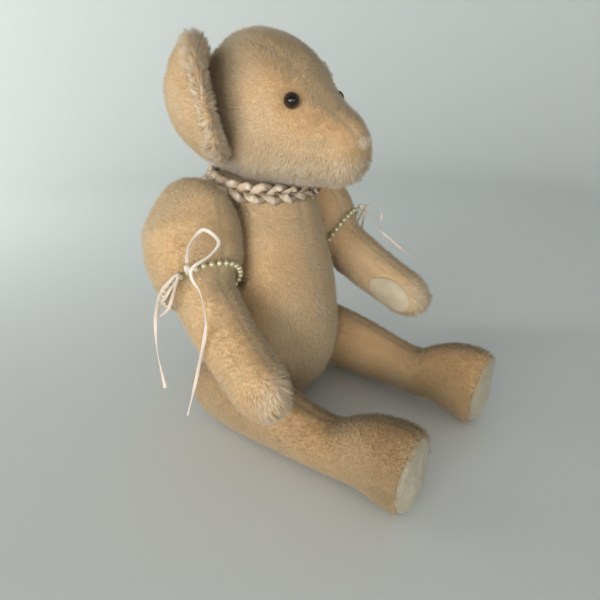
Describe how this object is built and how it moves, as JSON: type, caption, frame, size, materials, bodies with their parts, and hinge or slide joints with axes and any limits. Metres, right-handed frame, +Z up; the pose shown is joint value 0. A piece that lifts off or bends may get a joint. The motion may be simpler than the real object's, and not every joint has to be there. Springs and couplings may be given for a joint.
{
  "type": "jointed teddy bear",
  "caption": "Seated mohair teddy bear with disc-jointed head, arms and legs, glass eyes, braided collar and pearl arm bands tied with ribbon bows",
  "frame": {"origin": "the middle of the flat patch under the body that the bear sits on", "axes": "+Z up, the bear faces -Y, its left side is +X"},
  "size_m": [0.3533, 0.3281, 0.4204],
  "materials": {
    "mohair": "short dense mohair pile, pale peach",
    "stuffing": "firm packed fibre filling",
    "pad_cloth": "off-white suede-like cloth",
    "eye_glass": "dark brown glass with a black pupil",
    "nose_thread": "close satin stitch in beige thread",
    "ribbon": "satin ribbon",
    "collar_ribbon": "plaited satin ribbon, pinkish beige",
    "pearl": "cream pearl coating",
    "hardboard": "pressed hardboard",
    "steel": "zinc-plated steel"
  },
  "bodies": {
    "torso": {"body_skin_left": "mohair", "body_skin_right": "mohair", "body_stuffing": "stuffing", "collar_braid": "collar_ribbon", "neck_body_disc": "hardboard", "shoulder_left_body_disc": "hardboard", "shoulder_right_body_disc": "hardboard", "hip_left_body_disc": "hardboard", "hip_right_body_disc": "hardboard"},
    "head": {"head_side_left": "mohair", "head_side_right": "mohair", "head_gusset": "mohair", "head_stuffing": "stuffing", "ear_left_back": "mohair", "ear_left_lining": "mohair", "ear_right_back": "mohair", "ear_right_lining": "mohair", "eye_left": "eye_glass", "eye_right": "eye_glass", "nose_stitched": "nose_thread", "neck_limb_disc": "hardboard", "neck_bolt": "steel", "neck_lock_nut": "steel"},
    "arm_left": {"arm_left_skin": "mohair", "paw_left_pad": "pad_cloth", "arm_left_stuffing": "stuffing", "shoulder_left_limb_disc": "hardboard", "shoulder_left_bolt": "steel", "shoulder_left_lock_nut": "steel", "pearl_string_left": "pearl", "bow_left_knot": "ribbon", "bow_left_ribbon_front": "ribbon", "bow_left_ribbon_back": "ribbon"},
    "arm_right": {"arm_right_skin": "mohair", "paw_right_pad": "pad_cloth", "arm_right_stuffing": "stuffing", "shoulder_right_limb_disc": "hardboard", "shoulder_right_bolt": "steel", "shoulder_right_lock_nut": "steel", "pearl_string_right": "pearl", "bow_right_knot": "ribbon", "bow_right_ribbon_front": "ribbon", "bow_right_ribbon_back": "ribbon"},
    "leg_left": {"leg_left_skin": "mohair", "foot_left_pad": "pad_cloth", "leg_left_stuffing": "stuffing", "hip_left_limb_disc": "hardboard", "hip_left_bolt": "steel", "hip_left_lock_nut": "steel"},
    "leg_right": {"leg_right_skin": "mohair", "foot_right_pad": "pad_cloth", "leg_right_stuffing": "stuffing", "hip_right_limb_disc": "hardboard", "hip_right_bolt": "steel", "hip_right_lock_nut": "steel"}
  },
  "joints": [
    {"name": "neck", "type": "hinge", "parent": "torso", "child": "head", "pos_m": [0, 0.017, 0.274], "axis": [0, -0.1219, 0.9925], "continuous": true},
    {"name": "shoulder_left", "type": "hinge", "parent": "torso", "child": "arm_left", "pos_m": [0.058, 0.02, 0.206], "axis": [-0.9848, 0, -0.1736], "range_deg": [-8, 82]},
    {"name": "shoulder_right", "type": "hinge", "parent": "torso", "child": "arm_right", "pos_m": [-0.058, 0.02, 0.206], "axis": [-0.9848, 0, 0.1736], "range_deg": [0, 90]},
    {"name": "hip_left", "type": "hinge", "parent": "torso", "child": "leg_left", "pos_m": [0.06, -0.004, 0.05], "axis": [-1, 0, 0], "range_deg": [-90, 0]},
    {"name": "hip_right", "type": "hinge", "parent": "torso", "child": "leg_right", "pos_m": [-0.06, -0.004, 0.05], "axis": [-1, 0, 0], "range_deg": [-90, 0]}
  ]
}
